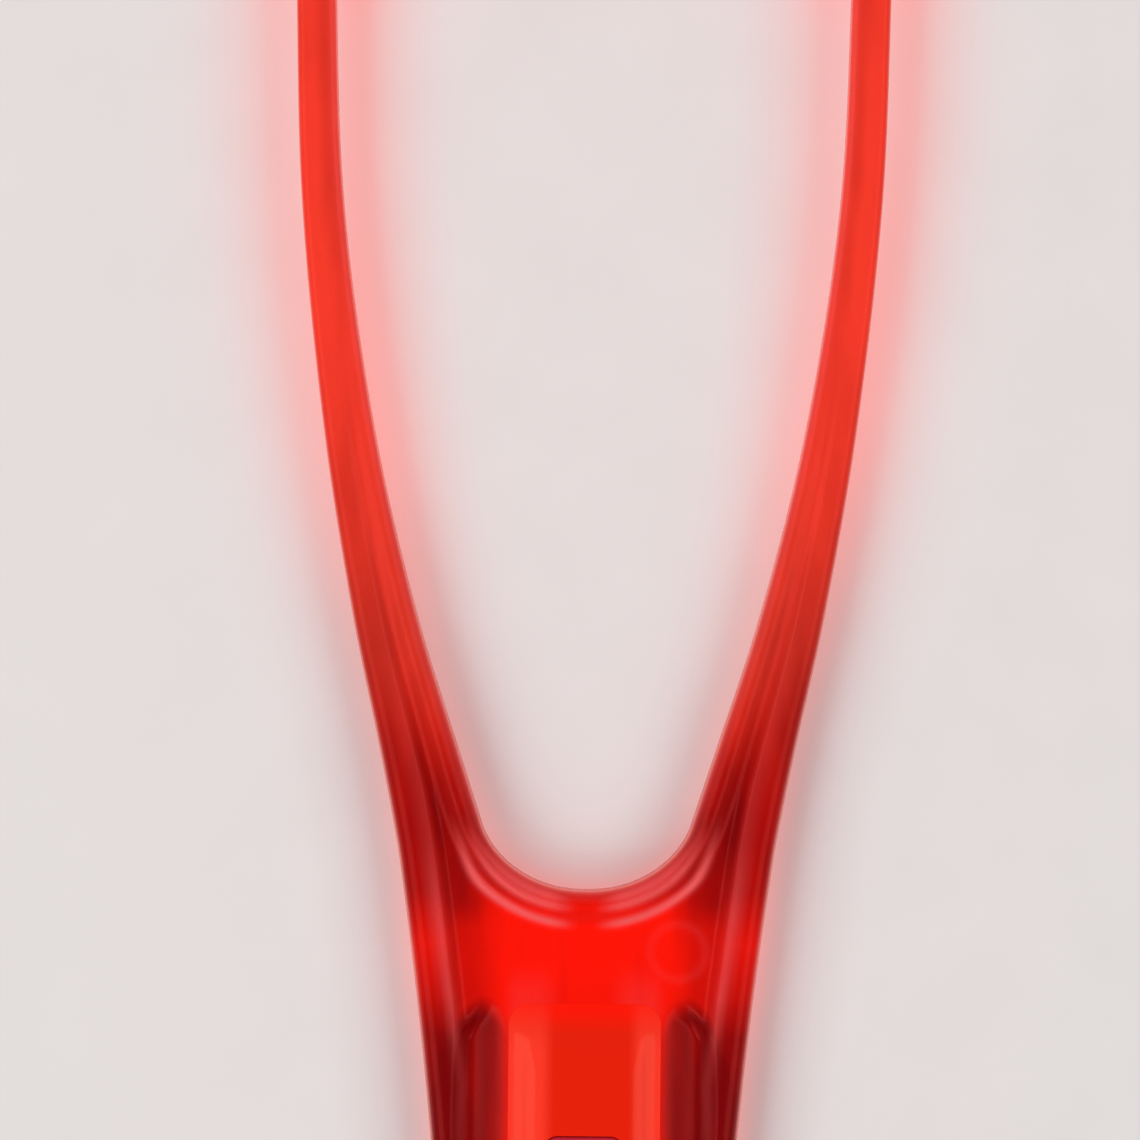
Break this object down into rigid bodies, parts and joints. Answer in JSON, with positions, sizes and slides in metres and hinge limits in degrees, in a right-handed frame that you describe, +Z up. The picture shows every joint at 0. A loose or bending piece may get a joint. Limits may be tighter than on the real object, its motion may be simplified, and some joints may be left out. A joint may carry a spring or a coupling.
{
  "type": "tongue scraper",
  "caption": "Forked handle in clear tinted plastic with an arched head bar carrying a smooth and a notched scraping blade, and soft grip pads.",
  "frame": {"origin": "middle of the plane that the object lies on, under the middle of its length; the crotch of the opening lies there", "axes": "+Y from the handle towards the head, +Z up from the back of the handle to its front, +X to the right seen from the front"},
  "size_m": [0.045, 0.172, 0.006],
  "materials": {
    "clear_red_plastic": "glossy moulded, see-through",
    "blade_plastic": "glossy moulded, see-through",
    "inlay_plastic": "glossy moulded",
    "soft_pad": "satin soft-touch"
  },
  "bodies": {
    "root": {"frame": "clear_red_plastic", "scraper_bar": "clear_red_plastic", "smooth_blade": "blade_plastic", "ridged_blade": "blade_plastic", "handle_inlay": "inlay_plastic", "thumb_pad": "soft_pad", "back_grip": "soft_pad"}
  },
  "joints": []
}
